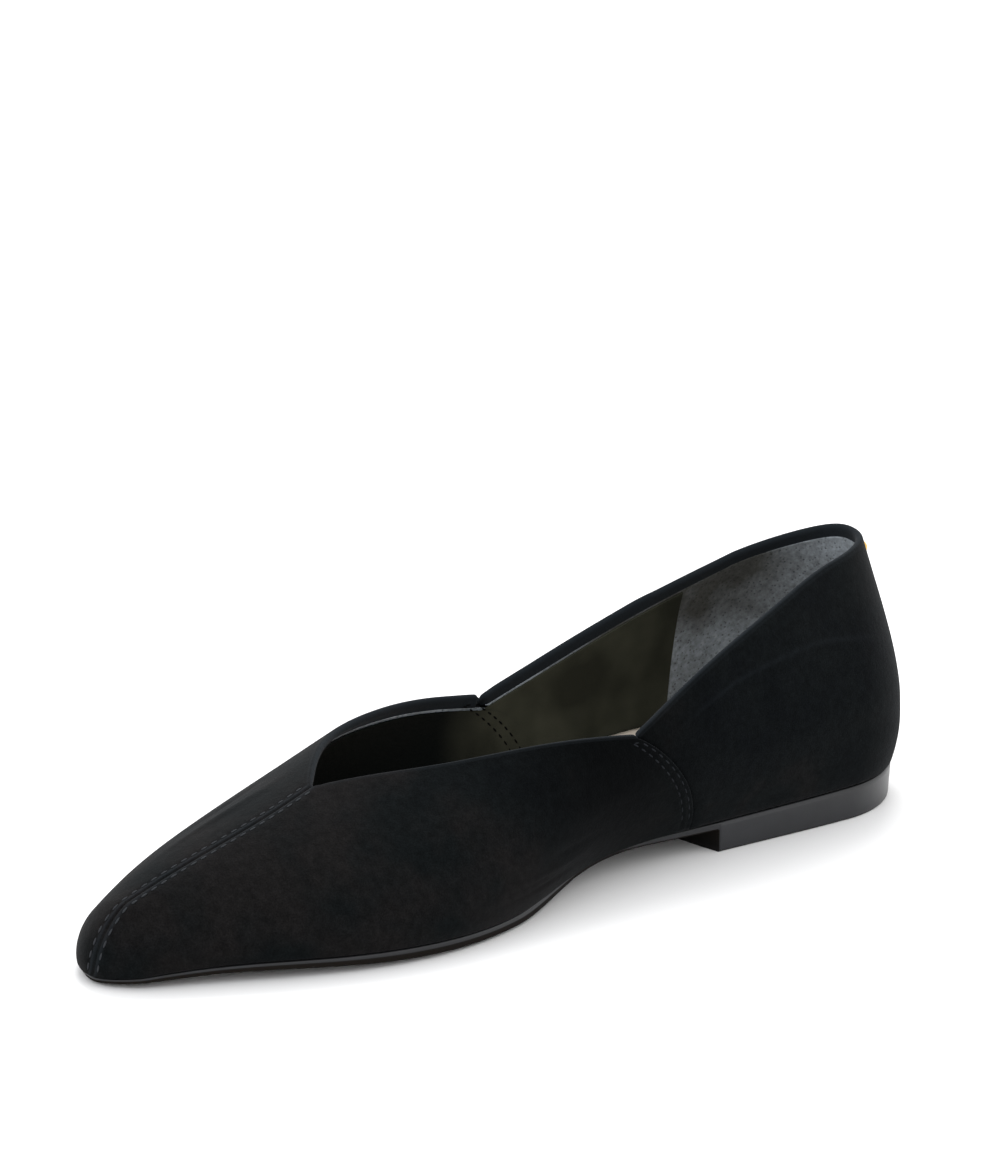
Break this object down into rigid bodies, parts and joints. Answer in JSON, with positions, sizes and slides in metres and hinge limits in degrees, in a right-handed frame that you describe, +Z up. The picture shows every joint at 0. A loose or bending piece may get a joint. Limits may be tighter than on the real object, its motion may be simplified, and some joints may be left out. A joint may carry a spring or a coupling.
{
  "type": "pointed toe flat shoe",
  "caption": "Pointed toe flat shoe for the right foot, black suede, low collar dipping at both sides, V throat with a middle seam, thin sole and low heel in one.",
  "frame": {"origin": "on the floor, under the middle of the shoe's bounding box", "axes": "+Z up, -Y towards the toe, +Y towards the heel, +X towards the inner side of the foot"},
  "size_m": [0.0798, 0.2622, 0.0677],
  "materials": {
    "suede": "napped suede, matte",
    "moulded_sole": "moulded, low sheen",
    "sock": "smooth leather sock, satin",
    "gold_tone_metal": "polished"
  },
  "bodies": {
    "root": {"upper": "suede", "outsole": "moulded_sole", "insole": "sock", "back_stud": "gold_tone_metal"}
  },
  "joints": []
}
